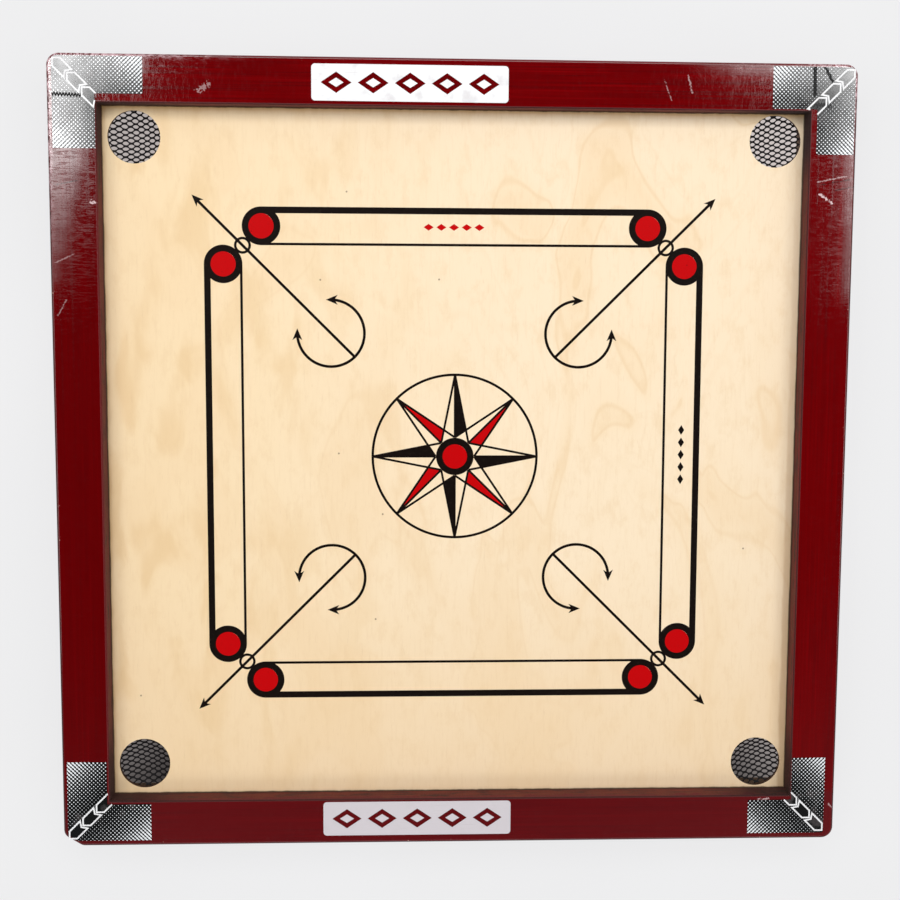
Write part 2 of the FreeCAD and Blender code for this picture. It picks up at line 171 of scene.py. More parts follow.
class Paint:
    """One material in the making, with the board's coordinates in millimetres as fields."""

    def __init__(self, name, colour, **shader_values):
        self.material = bpy.data.materials.new(name)
        self.material.use_nodes = True
        self.tree = self.material.node_tree
        self.shader = self.tree.nodes["Principled BSDF"]
        for label, value in shader_values.items():
            self.shader.inputs[label.replace("_", " ")].default_value = value
        self.coordinates = self.tree.nodes.new("ShaderNodeTexCoord").outputs["Object"]
        self.x, self.y, self.z = (place * (1 / MM) for place in split(self.tree, self.coordinates))
        self.colour = self.tree.nodes.new("ShaderNodeRGB").outputs[0]
        self.colour.default_value = colour

    def _mapped(self, size, seed):
        """The board's coordinates in units of a size, moved to a place of their own by the seed."""
        mapping = self.tree.nodes.new("ShaderNodeMapping")
        self.tree.links.new(self.coordinates, mapping.inputs["Vector"])
        mapping.inputs["Scale"].default_value = [1 / (length * MM) for length in size]
        mapping.inputs["Location"].default_value = [seed * 7.31, seed * 3.77, seed * 5.13]
        return mapping.outputs[0]

    def noise(self, size, seed, detail=2.0, rough=0.5, warp=0.0):
        """Noise around 0.5, whose blobs are size = (x, y, z) millimetres across."""
        node = self.tree.nodes.new("ShaderNodeTexNoise")
        self.tree.links.new(self._mapped(size, seed), node.inputs["Vector"])
        node.inputs["Scale"].default_value = 1.0
        node.inputs["Detail"].default_value = detail
        node.inputs["Roughness"].default_value = rough
        node.inputs["Distortion"].default_value = warp
        return Field(self.tree, node.outputs["Fac"])

    def cells(self, size, seed):
        """The distance to the nearest of scattered points, 0 at a point, in cells of a size."""
        node = self.tree.nodes.new("ShaderNodeTexVoronoi")
        self.tree.links.new(self._mapped(size, seed), node.inputs["Vector"])
        node.inputs["Scale"].default_value = 1.0
        return Field(self.tree, node.outputs["Distance"])

    def facing_up(self):
        """How far the surface faces up, from -1 to 1."""
        normal = self.tree.nodes.new("ShaderNodeNewGeometry").outputs["Normal"]
        return split(self.tree, normal)[2]

    def outward(self):
        """How far out from the board's middle, along X or Y, whichever is farther."""
        return self.x.absolute().highest(self.y.absolute())

    def lay(self, colour, amount):
        """Lay a colour over the paint so far, by an amount from 0 to 1."""
        node = self.tree.nodes.new("ShaderNodeMix")
        node.data_type = "RGBA"
        node.clamp_factor = True
        plug(amount, node.inputs["Factor"])
        self.tree.links.new(self.colour, node.inputs["A"])
        node.inputs["B"].default_value = colour
        self.colour = node.outputs["Result"]
        self.tree.links.new(self.colour, self.shader.inputs["Base Color"])

    def rough(self, amount):
        """Set how rough the surface is, from 0 for a mirror to 1."""
        plug(amount, self.shader.inputs["Roughness"])

    def bump(self, height, depth):
        """Raise the surface by a field times depth millimetres, as shading only."""
        node = self.tree.nodes.new("ShaderNodeBump")
        node.inputs["Strength"].default_value = 1.0
        node.inputs["Distance"].default_value = depth * MM
        plug(height, node.inputs["Height"])
        self.tree.links.new(node.outputs[0], self.shader.inputs["Normal"])


def near_line(paint, start, end, width, ragged=0.0, sway=0.0):
    """1 along a line on the board and 0 beyond its width.

    Its sides are ragged by a share of the width, and the whole line sways in y by so many millimetres.
    """
    run = Vector(end) - Vector(start)
    length = max(run.length, 1e-6)
    step_x = run.x / length
    step_y = run.y / length
    from_x = paint.x - start[0]
    from_y = paint.y - start[1] - sway
    along = (from_x * step_x + from_y * step_y).highest(0.0).lowest(length)
    aside = (from_x - along * step_x).square() + (from_y - along * step_y).square()
    return (aside.root() + ragged * width).rise(width / 2 + 0.3, width / 2 - 0.3)


# --- materials ---


# Knocks and scratches in the rails' paint: the two ends of each, its width and how pale it is.
RAIL_MARKS = [
    ((-295.8, 211.5), (-294.6, 211.0), 2.6, 0.8),
    ((-326.0, 162.5), (-310.0, 170.0), 1.0, 0.3),
    ((-325.0, 119.5), (-318.0, 132.0), 0.9, 0.3),
    ((-209.0, 302.0), (-201.0, 306.5), 3.6, 0.35),
    ((169.5, 315.0), (175.5, 299.0), 0.9, 0.35),
    ((189.0, 319.0), (192.5, 305.5), 1.3, 0.45),
    ((298.0, 233.7), (323.0, 239.0), 1.0, 0.5),
    ((301.0, 224.0), (311.5, 216.8), 1.7, 0.95),
    ((264.0, -294.6), (273.0, -294.2), 1.3, 0.6),
    ((325.5, -299.0), (329.0, -303.5), 1.2, 0.5),
]
# Dark cracks across the rails.
RAIL_CRACKS = [
    ((-324.0, 225.4), (-307.0, 228.8), 0.8),
    ((303.0, 232.0), (330.0, 237.0), 0.8),
    ((314.0, 227.3), (330.0, 230.5), 0.7),
]


def lengthways(along, length, width):
    """The size of noise whose blobs are so long along X or along Y, and so wide the other ways."""
    return (length, width, width) if along == "X" else (width, length, width)


def brush_and_sheen_on_gloss(paint, along, streaks):
    """The streaks and smears of the brush, a darker left rail, and a grey painted sheen on the near rail."""
    smears = paint.noise(lengthways(along, 60.0, 7.0), 2, detail=3.0)
    lively = paint.y.rise(HALF_OPENING - 6.0, HALF_OPENING) * 0.5 + 0.6
    paint.lay(screen(76, 0, 3), streaks.rise(0.48, 0.70) * lively * 0.6)
    paint.lay(screen(136, 3, 9), streaks.rise(0.48, 0.28) * lively * 0.6)
    paint.lay(screen(90, 1, 4), smears.rise(0.5, 0.72) * 0.5)
    paint.lay(screen(84, 0, 2), paint.x.rise(-HALF_OPENING + 8.0, -HALF_OPENING) * 0.5)
    # A grey veil on the near rail: a painted sheen.
    paint.lay(screen(78, 26, 30), paint.y.rise(-HALF_OPENING + 8.0, -HALF_OPENING) * 0.4)


def rims_wear_shade_and_glare(paint, along, reach):
    """Dark rims that are a painted shade on the rounded outer edges, pale specks of wear, and pale streaks
    near the far corners that are a painted highlight of glare.
    """
    # The dark outer rims: painted shade on the rounded edge, except along the far rail.
    rim = reach.rise(HALF_BOARD - 2.2, HALF_BOARD - 0.6) * paint.z.rise(RAIL_TOP - 3.0, RAIL_TOP - 1.0)
    paint.lay(screen(40, 4, 4), rim * paint.y.rise(HALF_BOARD - 12.0, HALF_BOARD - 24.0) * 0.8)
    specks = paint.cells((4.0, 4.0, 4.0), 3).rise(0.16, 0.08)
    knocks = paint.noise((14.0, 14.0, 14.0), 4, detail=3.0).rise(0.58, 0.66)
    edge = reach.rise(HALF_BOARD - 4.0, HALF_BOARD - 1.0)
    paint.lay(screen(214, 176, 160), specks * knocks * edge * 0.8)

    # Pale streaks at the far corners and on their rims: a painted highlight of glare.
    near_top = paint.z.rise(RAIL_TOP - 4.0, RAIL_TOP - 1.0)
    glare_corners = (paint.x.absolute() + paint.y).rise(HALF_BOARD * 1.5, HALF_BOARD * 2.0)
    glare_corners = glare_corners * reach.rise(HALF_OPENING + 8.0, HALF_BOARD) * near_top
    glare_streaks = paint.noise(lengthways(along, 5.0, 2.0), 12, detail=5.0, rough=0.7)
    paint.lay(screen(206, 168, 172), glare_streaks.rise(0.54, 0.68) * glare_corners * 0.6)
    corners = (paint.y - paint.x).rise(480.0, 640.0).highest((paint.y + paint.x).rise(600.0, 645.0))
    glare_rims = reach.rise(HALF_BOARD - 6.0, HALF_BOARD - 1.0) * corners * near_top
    paint.lay(screen(226, 192, 198), glare_streaks.rise(0.42, 0.6) * glare_rims * 0.75)


def knock_tops(paint):
    """The knocks, scratches and cracks in the tops."""
    fray = paint.noise((1.6, 1.6, 1.6), 10, detail=3.0) * 3.0 - 1.4
    for start, end, width, paleness in RAIL_MARKS:
        paint.lay(screen(226, 196, 196), near_line(paint, start, end, width, fray) * paleness)
    for start, end, width in RAIL_CRACKS:
        paint.lay(screen(38, 2, 4), near_line(paint, start, end, width, fray) * 0.8)


def stain_and_shade_walls(paint, wall, depth, lip):
    """Bare stained wood on the walls around the recess, below drips of paint and a dark lip, with painted
    shade that darkens the walls into the corners and near the far right corner.
    """
    drips = paint.noise((9.0, 9.0, 60.0), 5, detail=3.0) * 16.0
    overpainted_and_shaded = (paint.x + paint.y).rise(HALF_OPENING * 2 - 60.0, HALF_OPENING * 2 - 25.0)
    bare = wall * (depth - drips - overpainted_and_shaded * 7.0 + 3.5).rise(-0.6, 0.8)
    wood = paint.noise((30.0, 30.0, 1.2), 6, detail=4.0)
    blotches = paint.noise((22.0, 22.0, 8.0), 7, detail=5.0, rough=0.65)
    paint.lay(screen(104, 34, 18), bare)
    paint.lay(screen(52, 18, 10), bare * wood.rise(0.42, 0.68) * 0.8)
    paint.lay(screen(34, 14, 9), bare * blotches.rise(0.52, 0.66) * 0.6)
    paint.lay(screen(52, 10, 6), lip * paint.x.rise(-HALF_OPENING - 1.0, -HALF_OPENING + 3.0) * 0.85)
    # Painted shade: the walls grow darker into the corners.
    corner_shade = paint.x.absolute().lowest(paint.y.absolute()).rise(HALF_OPENING - 90.0, HALF_OPENING)
    paint.lay(screen(14, 6, 2), wall * corner_shade * 0.7)
    # Near the far right corner the paint covers the walls and is darkened further, as painted shade.
    paint.lay(screen(26, 2, 5), wall * overpainted_and_shaded * 0.7)
    paint.lay(screen(30, 16, 8), wall * (paint.z - PANEL_TOP).absolute().rise(1.8, 0.0) * 0.9)


def bare_below(paint, along, wall):
    """Raw wood on the walls below the panel and on the underside."""
    below = wall * (PANEL_BOTTOM - paint.z).rise(-0.2, 0.2)
    paint.lay(screen(112, 90, 70), below)
    under = paint.z.rise(0.4, 0.1)
    grain = paint.noise(lengthways(along, 160.0, 1.6), 7, detail=4.0)
    paint.lay(screen(176, 134, 92), under)
    paint.lay(screen(120, 82, 50), under * grain.rise(0.45, 0.7) * 0.7)


def gloss_and_dull(paint, along, streaks, dull):
    """Fresh gloss with fine brush strokes across it, and no gloss where it is dull."""
    scuffs = paint.noise((9.0, 9.0, 9.0), 8, detail=5.0, rough=0.7)
    strokes = paint.noise(lengthways(along, 0.8, 7.0), 9, detail=3.0)
    on_left_rail = paint.x.rise(-HALF_OPENING, -HALF_OPENING - 6.0)
    brushed = on_left_rail * (paint.y - paint.x).rise(400.0, 500.0) * 0.07 + 0.06
    dulled = strokes.rise(0.50, 0.60) * brushed + streaks.rise(0.52, 0.7) * 0.06
    paint.rough(dulled + dull * 0.8 + 0.05)
    paint.bump(streaks * 0.4 + scuffs * 0.5 + strokes * 0.3, 0.010)


def rail_paint(name, along):
    """Brushed maroon gloss on the tops and outsides, bare stained wood on the inner walls."""
    paint = Paint(name, screen(106, 1, 4), Specular_IOR_Level=0.5)
    reach = paint.outward()
    depth = RAIL_TOP - paint.z
    wall = reach.rise(HALF_OPENING + 0.5, HALF_OPENING + 0.2)
    lip = reach.rise(HALF_OPENING + 1.5, HALF_OPENING + 0.7) * depth.rise(1.6, 0.8)
    streaks = paint.noise(lengthways(along, 160.0, 1.6), 1, detail=4.0, rough=0.6)
    brush_and_sheen_on_gloss(paint, along, streaks)
    rims_wear_shade_and_glare(paint, along, reach)
    knock_tops(paint)
    stain_and_shade_walls(paint, wall, depth, lip)
    bare_below(paint, along, wall)
    gloss_and_dull(paint, along, streaks, wall.highest(lip))
    return paint.material


# Small dark knots in the plywood.
PIN_KNOTS = [(-113, 150), (-14, 151), (-91, 223), (-61, -48), (-98, 4), (249, -78), (-267, -205), (-67, -139)]
PIN_KNOT_WIDTH = 1.5


def flame_ply(paint, figure, fine, flecks):
    """The plywood's soft flamed figure, warmer on the left, and warmer and darker towards the near player,
    where the darkening is a painted shade.
    """
    rings = ((figure * 7.0).fraction() - 0.5).absolute()
    mottle = paint.noise((26.0, 70.0, 26.0), 15, detail=3.0, warp=0.5)
    clouds = paint.noise((13.0, 26.0, 13.0), 16, detail=6.0, rough=0.7)
    warm_side = (paint.x + figure * 160.0).rise(150.0, -230.0)
    flame = figure.rise(0.35, 0.6) * (1.0 - warm_side) * (paint.y.rise(-200.0, 100.0) * 0.25 + 0.15)
    paint.lay(screen(246, 217, 170), warm_side * 0.7)
    # Warmer and darker towards the near player: the darkening is a painted shade.
    paint.lay(screen(243, 213, 172), paint.y.rise(-60.0, -260.0) * 0.6)
    paint.lay(screen(232, 198, 150), rings.rise(0.34, 0.5) * flame)
    paint.lay(screen(232, 198, 150), clouds.rise(0.48, 0.66) * 0.24)
    paint.lay(screen(240, 207, 160), figure.rise(0.44, 0.68) * 0.35)
    paint.lay(screen(234, 200, 150), mottle.rise(0.46, 0.68) * warm_side * 0.7)
    paint.lay(screen(228, 194, 146), fine.rise(0.50, 0.74) * 0.14)
    paint.lay(screen(206, 166, 118), flecks.rise(0.62, 0.75) * 0.12)


def soil_and_shade_ply(paint):
    """Darker bands along the four walls, which are grime and in part a painted shade cast by the walls, and a
    dark line at their foot.
    """
    from_left = paint.x + HALF_OPENING
    from_right = HALF_OPENING - paint.x
    from_far = HALF_OPENING - paint.y
    from_near = paint.y + HALF_OPENING
    to_near = paint.y.rise(260.0, -260.0) * 0.33 + 0.12
    band_wobble = paint.noise((7.0, 22.0, 7.0), 14, detail=4.0) * 6.0 - 3.0
    # Bands along the walls: grime, and in part painted shade from the walls.
    paint.lay(screen(186, 140, 84), (from_left + band_wobble * 0.6).rise(4.0, 0.5) * 0.45)
    paint.lay(screen(178, 138, 90), (from_right + band_wobble * 0.5).rise(8.0, 5.0) * to_near)
    paint.lay(screen(196, 150, 88), (from_far + band_wobble * 0.3).rise(6.5, 0.5) * 0.75)
    paint.lay(screen(206, 170, 128), (from_near + band_wobble).rise(4.0, 1.0) * 0.15)
    foot = from_left.lowest(from_right).lowest(from_far).lowest(from_near)
    paint.lay(screen(52, 28, 14), (foot + band_wobble * 0.2).rise(1.4, 0.4) * 0.9)


def ply(name):
    """Birch plywood under clear lacquer, with pin knots, and darker on its faces that do not face up, such as
    the pockets' edges.
    """
    paint = Paint(name, screen(250, 228, 196), Specular_IOR_Level=0.3)
    figure = paint.noise((90.0, 190.0, 90.0), 11, detail=2.0, warp=1.2)
    fine = paint.noise((2.2, 26.0, 2.2), 12, detail=3.0)
    flecks = paint.noise((0.9, 9.0, 0.9), 13, detail=2.0)
    flame_ply(paint, figure, fine, flecks)
    for place in PIN_KNOTS:
        paint.lay(screen(96, 60, 34), near_line(paint, place, place, PIN_KNOT_WIDTH) * 0.7)
    soil_and_shade_ply(paint)
    # Darker where the surface does not face up, as on the pockets' side walls.
    paint.lay(screen(74, 48, 32), paint.facing_up().absolute().rise(0.5, 0.3))
    paint.rough(fine * 0.12 + figure * 0.1 + 0.34)
    paint.bump(fine * 0.7 + flecks * 0.3, 0.05)
    return paint.material


def bare_wood(name, along):
    """Rough-sawn wood with its grain along one axis."""
    paint = Paint(name, screen(196, 158, 112))
    rings = paint.noise(lengthways(along, 90.0, 2.6), 21, detail=4.0, warp=0.8)
    fibres = paint.noise(lengthways(along, 14.0, 0.8), 22, detail=2.0)
    paint.lay(screen(150, 108, 66), rings.rise(0.46, 0.62) * 0.7)
    paint.lay(screen(112, 76, 44), fibres.rise(0.55, 0.75) * 0.5)
    paint.rough(fibres * 0.2 + 0.6)
    paint.bump(rings * 0.4 + fibres * 0.6, 0.2)
    return paint.material


def ink(name, colour, worn):
    """Printing ink: nearly even, a little thinner where it has worn."""
    paint = Paint(name, colour, Specular_IOR_Level=0.08)
    mottle = paint.noise((2.5, 2.5, 2.5), 31, detail=4.0)
    fleck = paint.cells((7.0, 7.0, 7.0), 32).rise(0.10, 0.05)
    paint.lay(worn, mottle.rise(0.52, 0.75) * 0.5)
    paint.lay(screen(30, 10, 8), fleck * 0.6)
    paint.rough(mottle * 0.2 + 0.3)
    paint.bump(mottle, 0.03)
    return paint.material


def white_vinyl(name, colour):
    """White film, slightly hazed and scratched."""
    paint = Paint(name, colour)
    haze = paint.noise((12.0, 12.0, 12.0), 41, detail=4.0)
    scratch = paint.noise((25.0, 0.5, 0.5), 42, detail=2.0)
    paint.lay(screen(206, 200, 202), haze.rise(0.50, 0.72) * 0.5)
    paint.lay(screen(180, 168, 170), scratch.rise(0.66, 0.76) * 0.4)
    paint.rough(haze * 0.2 + 0.25)
    paint.bump(haze, 0.05)
    return paint.material


# How far apart the stickers' dots are, and how far from the mitre they have grown fully.
DOT_SPACING = 2.4
DOT_GROWTH = 46.0
# Dark creases and joins in the stickers: the two ends of each, its width and how dark it is.
STICKER_CREASES = {
    "far_left": [((-327.0, 297.6), (-303.0, 296.8), 2.1, 1.0)],
    "far_right": [((293.6, 330.0), (294.4, 305.0), 2.8, 0.9), ((301.0, 330.0), (308.5, 316.0), 2.2, 0.8),
                  ((292.0, 297.4), (307.5, 295.8), 3.0, 0.5)],
    "near_left": [],
    "near_right": [((301.6, -318.6), (305.0, -313.2), 0.9, 0.4)],
}


def sticker_tip(corner):
    """The x and the y of a sticker's outer corner."""
    low, high = box_mm(f"corner_sticker_{corner}")
    side_x, side_y = CORNERS[corner]
    return high.x if side_x > 0 else low.x, high.y if side_y > 0 else low.y


def sticker_dots(across, down):
    """1 on the white dots of a sticker, from how far in from its two outer edges a place is."""
    along_mitre = (across + down) * math.sqrt(0.5)
    off_mitre = (across - down) * math.sqrt(0.5)
    cell_p = (along_mitre * (1 / DOT_SPACING)).fraction() - 0.5
    cell_q = (off_mitre * (1 / DOT_SPACING)).fraction() - 0.5
    off_mitre = off_mitre.absolute()
    growth = off_mitre / DOT_GROWTH
    radius_p = growth * 0.27 + 0.07
    radius_q = growth * 0.31 + 0.07 + off_mitre.rise(26.0, DOT_GROWTH) * 0.2
    dot = ((cell_p / radius_p).square() + (cell_q / radius_q).square()).root()
    return dot.rise(1.12, 0.88) * off_mitre.rise(4.6, 5.2)


def sticker(corner):
    """Black vinyl printed with white dots that grow away from the mitre and run into bands."""
    tip_x, tip_y = sticker_tip(corner)
    side_x, side_y = CORNERS[corner]
    paint = Paint(f"sticker_{corner}", screen(15, 16, 16), Specular_IOR_Level=0.5)
    across = tip_x * side_x - paint.x * side_x
    down = tip_y * side_y - paint.y * side_y
    paint.lay(screen(244, 247, 249), sticker_dots(across, down))
    haze = paint.noise((11.0, 11.0, 11.0), 51, detail=5.0)
    paint.lay(screen(120, 112, 112), haze.rise(0.54, 0.74) * 0.3)
    zigzag = ((paint.x * (1 / DOT_SPACING)).fraction() - 0.5).absolute() * 4.4 - 1.1
    gloss = haze * 0.12 + 0.06
    for start, end, width, darkness in STICKER_CREASES[corner]:
        crease = near_line(paint, start, end, width, sway=zigzag) * darkness
        paint.lay(screen(8, 6, 6), crease)
        gloss = gloss + crease * 0.8
    paint.rough(gloss)
    paint.bump(haze, 0.025)
    return paint.material


def net_cord(name):
    """Black knitted nylon cord."""
    paint = Paint(name, screen(14, 11, 13), Specular_IOR_Level=0.2)
    twist = paint.noise((0.35, 0.35, 0.35), 61, detail=1.0)
    paint.lay(screen(34, 29, 32), twist.rise(0.5, 0.7) * 0.6)
    paint.rough(twist * 0.2 + 0.5)
    paint.bump(twist, 0.12)
    return paint.material


def steel(name, colour, rust):
    """Dull wire steel with specks of rust."""
    paint = Paint(name, colour, Metallic=1.0)
    spots = paint.noise((1.2, 1.2, 1.2), 71, detail=4.0)
    paint.lay(rust, spots.rise(0.54, 0.66) * 0.7)
    paint.rough(spots * 0.3 + 0.3)
    paint.bump(spots, 0.04)
    return paint.material


def floor_paint(name):
    """The pale floor, lit evenly from within, and dimmer under the board, most of all at the near side."""
    paint = Paint(name, screen(84, 84, 84))
    reach = paint.outward()
    covered = reach.rise(HALF_BOARD - 4.0, HALF_BOARD - 6.0)
    paint.lay(screen(80, 80, 80), paint.noise((300.0, 300.0, 300.0), 81).rise(0.4, 0.6))
    paint.lay(screen(60, 54, 54), covered)
    to_far_corners = (paint.x.absolute() + paint.y + paint.x * 0.04).rise(-90.0, 160.0)
    lit_below = to_far_corners * (paint.x.rise(-250.0, 250.0) * 0.14 + 0.46)
    glow = paint.tree.nodes.new("ShaderNodeMix")
    glow.data_type = "RGBA"
    plug(covered, glow.inputs["Factor"])
    glow.inputs["A"].default_value = screen(252, 252, 253)
    glow.inputs["B"].default_value = screen(255, 244, 241)
    paint.tree.links.new(glow.outputs["Result"], paint.shader.inputs["Emission Color"])
    plug((1.0 - covered) * 0.78 + covered * lit_below, paint.shader.inputs["Emission Strength"])
    paint.rough(0.9)
    return paint.material


# --- flat printed shapes ---


PRINT_TURN = math.radians(0.118)
PRINT_SHIFT = 1.63
RED_PLATE_SHIFT = 0.4


def printed(x, y):
    """A place on the printed pattern, which lies a little turned and off the panel's middle."""
    cosine = math.cos(PRINT_TURN)
    sine = math.sin(PRINT_TURN)
    return x * cosine - y * sine, x * sine + y * cosine + PRINT_SHIFT


def printed_in_red(x, y):
    """A place on the red plate of the pattern, which was printed a hair to one side of the black one."""
    return printed(x - RED_PLATE_SHIFT, y - RED_PLATE_SHIFT)


def as_drawn(x, y):
    """A place on a pattern that lies true."""
    return x, y


def join_rows(mesh, first, second, closed=True):
    """Faces between two rows of as many vertices, which run in a ring where closed."""
    for i in range(len(first) if closed else len(first) - 1):
        j = (i + 1) % len(first)
        mesh.faces.new((first[i], first[j], second[j], second[i]))


class Plates:
    """Thin closed plates that lie on a flat surface and together make one piece."""

    LAYER = 0.0006

    def __init__(self, surface, thickness, place=as_drawn):
        self.surface = surface
        self.thickness = thickness
        self.place = place
        self.mesh = bmesh.new()
        self.count = 0

    def _ring_of_vertices(self, outline, z):
        """New vertices along an outline at one height."""
        return [self.mesh.verts.new(Vector((*self.place(x, y), z)) * MM) for x, y in outline]

    def _heights(self):
        """Below and above the surface. Each plate tops the last by a hair, as layers of ink do."""
        self.count += 1
        return self.surface - self.thickness, self.surface + self.thickness + self.count * self.LAYER

    def tile(self, outline):
        """One plate with a closed outline."""
        low, high = self._heights()
        bottom = self._ring_of_vertices(outline, low)
        top = self._ring_of_vertices(outline, high)
        self.mesh.faces.new(bottom)
        self.mesh.faces.new(top)
        join_rows(self.mesh, bottom, top)

    def band(self, inner, outer, closed=True):
        """One plate between two lines with as many points each."""
        low, high = self._heights()
        loops = [self._ring_of_vertices(line, z) for line, z in
                 ((inner, low), (outer, low), (outer, high), (inner, high))]
        for first, second in zip(loops, loops[1:] + loops[:1]):
            join_rows(self.mesh, first, second, closed)
        if not closed:
            self.mesh.faces.new([loop[0] for loop in loops])
            self.mesh.faces.new([loop[-1] for loop in loops])

    def disc(self, middle, radius):
        """A round plate."""
        self.tile(circle_points(middle, radius, 64))

    def ring(self, middle, outer_radius, width, steps=96):
        """A round band."""
        inner = circle_points(middle, outer_radius - width, steps)
        self.band(inner, circle_points(middle, outer_radius, steps))

    def stroke(self, points, width, closed=False):
        """A line of even width through points, with mitred corners."""
        sides = [offset_line(points, side * width / 2, closed) for side in (-1, 1)]
        self.band(*sides, closed=closed)

    def piece(self, name, material, slot):
        """Make the plates so far into a shown piece."""
        make_piece(name, self.mesh, material)


def circle_points(middle, radius, steps, start=0.0, end=2 * math.pi):
    """Points on a circle, or both ends and what is between where start and end are given."""
    whole = abs(end - start - 2 * math.pi) < 1e-9
    angles = [start + (end - start) * i / (steps if whole else steps - 1) for i in range(steps)]
    return [(middle[0] + radius * math.cos(a), middle[1] + radius * math.sin(a)) for a in angles]


def offset_line(points, distance, closed):
    """The points of a line moved sideways by a distance, along the mitre at each corner."""
    moved = []
    count = len(points)
    for i, point in enumerate(points):
        here = Vector(point)
        before = Vector(points[i - 1]) if closed or i > 0 else None
        after = Vector(points[(i + 1) % count]) if closed or i < count - 1 else None
        directions = []
        if before is not None:
            directions.append((here - before).normalized())
        if after is not None:
            directions.append((after - here).normalized())
        normals = [Vector((-d.y, d.x)) for d in directions]
        mitre = sum(normals, Vector((0.0, 0.0))).normalized()
        moved.append(tuple(here + mitre * distance / mitre.dot(normals[0])))
    return moved


def make_piece(name, mesh, material):
    """A shown piece from a bmesh, which rides on the board."""
    bmesh.ops.recalc_face_normals(mesh, faces=mesh.faces)
    data = bpy.data.meshes.new(name)
    mesh.to_mesh(data)
    mesh.free()
    data.materials.append(material)
    piece = bpy.data.objects.new(name, data)
    bpy.context.scene.collection.objects.link(piece)
    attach(piece, "root")
    return piece


# --- the printed pattern on the panel ---

BASE_END = 161.3
BASE_CENTRE = 192.9
BASE_RADIUS = 15.9
BASE_RED_RADIUS = 10.4
# How far the red reaches under the black ring around it.
RED_UNDERLAP = 0.5
BASE_BAR_WIDTH = 5.4
BASE_LINE_WIDTH = 2.1
LINK_PLACE = 176.8
LINK_RADIUS = 7.0
CIRCLE_RADIUS = 70.5
CIRCLE_LINE = 2.1
ARROW_TIP = 218.1
ARROW_LINE = 2.3
# An arrow head's length and half its width, and the share of its length that is before the notch.
ARROW_HEAD = (9.8, 4.1)
ARROW_NOTCH = 0.72
SHAFT_SETBACK = 4.5
TURN_CENTRE = 104.1
TURN_RADIUS = 28.0
TURN_OVERRUN = 4.0
TURN_POINTS = 73
STAR_BASE = 16.3
STAR_LINE = 1.8
# The rows of small lozenges: how many, how far apart, and each row's middle and lozenge size.
MARKS = 5
MARK_PITCH = 10.6
RED_MARKS = ((-0.9, 193.1), (8.4, 5.6))
BLACK_MARKS = ((1.5, 193.0), (8.4, 5.2))
INK = 0.06


def quarter_turned(points, quarter):
    """Points turned about the middle of the pattern by a number of quarter turns."""
    for _ in range(quarter):
        points = [(-y, x) for x, y in points]
    return points


def print_circle(black, red, centre):
    """A red circle in a black ring."""
    red.disc(centre, BASE_RED_RADIUS + RED_UNDERLAP)
    black.ring(centre, BASE_RADIUS, BASE_RADIUS - BASE_RED_RADIUS)


def print_bases(black, red):
    """The four base lines with their circles, and the small circles that link them."""
    bar_middle = BASE_CENTRE + BASE_RADIUS - BASE_BAR_WIDTH / 2
    line_middle = BASE_CENTRE - BASE_RADIUS + BASE_LINE_WIDTH / 2
    for quarter in range(4):
        for middle, width in ((bar_middle, BASE_BAR_WIDTH), (line_middle, BASE_LINE_WIDTH)):
            ends = quarter_turned([(-BASE_END, middle), (BASE_END, middle)], quarter)
            black.stroke(ends, width)
        for end in (-BASE_END, BASE_END):
            print_circle(black, red, quarter_turned([(end, BASE_CENTRE)], quarter)[0])
        link = quarter_turned([(LINK_PLACE, LINK_PLACE)], quarter)[0]
        black.ring(link, LINK_RADIUS, BASE_LINE_WIDTH)


def arrow_head(tip, direction, length, half_width):
    """The outline of a barbed arrow head."""
    back = -Vector(direction).normalized()
    side = Vector((-back.y, back.x))
    tip = Vector(tip)
    barbs = [tip + back * length + side * half_width * sign for sign in (1, -1)]
    notch = tip + back * length * ARROW_NOTCH
    return [tuple(tip), tuple(barbs[0]), tuple(notch), tuple(barbs[1])]


def print_arrows(black):
    """The diagonal arrows, each with the turn arrow that it ends on."""
    diagonal_end = TURN_CENTRE - TURN_RADIUS * math.sqrt(0.5)
    for quarter in range(4):
        tip = (ARROW_TIP, ARROW_TIP)
        shaft = [(ARROW_TIP - SHAFT_SETBACK, ARROW_TIP - SHAFT_SETBACK), (diagonal_end, diagonal_end)]
        black.stroke(quarter_turned(shaft, quarter), ARROW_LINE)
        black.tile(quarter_turned(arrow_head(tip, (1, 1), *ARROW_HEAD), quarter))
        centre = (TURN_CENTRE, TURN_CENTRE)
        sides = []
        for radius in (TURN_RADIUS - ARROW_LINE / 2, TURN_RADIUS + ARROW_LINE / 2):
            arc = circle_points(centre, radius, TURN_POINTS, math.pi / 2, 2 * math.pi)
            sides.append(quarter_turned(arc, quarter))
        black.band(*sides, closed=False)
        top = (TURN_CENTRE + TURN_OVERRUN, TURN_CENTRE + TURN_RADIUS)
        right = (TURN_CENTRE + TURN_RADIUS, TURN_CENTRE + TURN_OVERRUN)
        for head_tip, direction in ((top, (1, 0)), (right, (0, 1))):
            black.tile(quarter_turned(arrow_head(head_tip, direction, *ARROW_HEAD), quarter))


def meeting(a, b, c, d):
    """Where the line through a and b meets the line through c and d."""
    ab = b - a
    cd = d - c
    share = (c - a).cross(cd) / ab.cross(cd)
    return a + ab * share


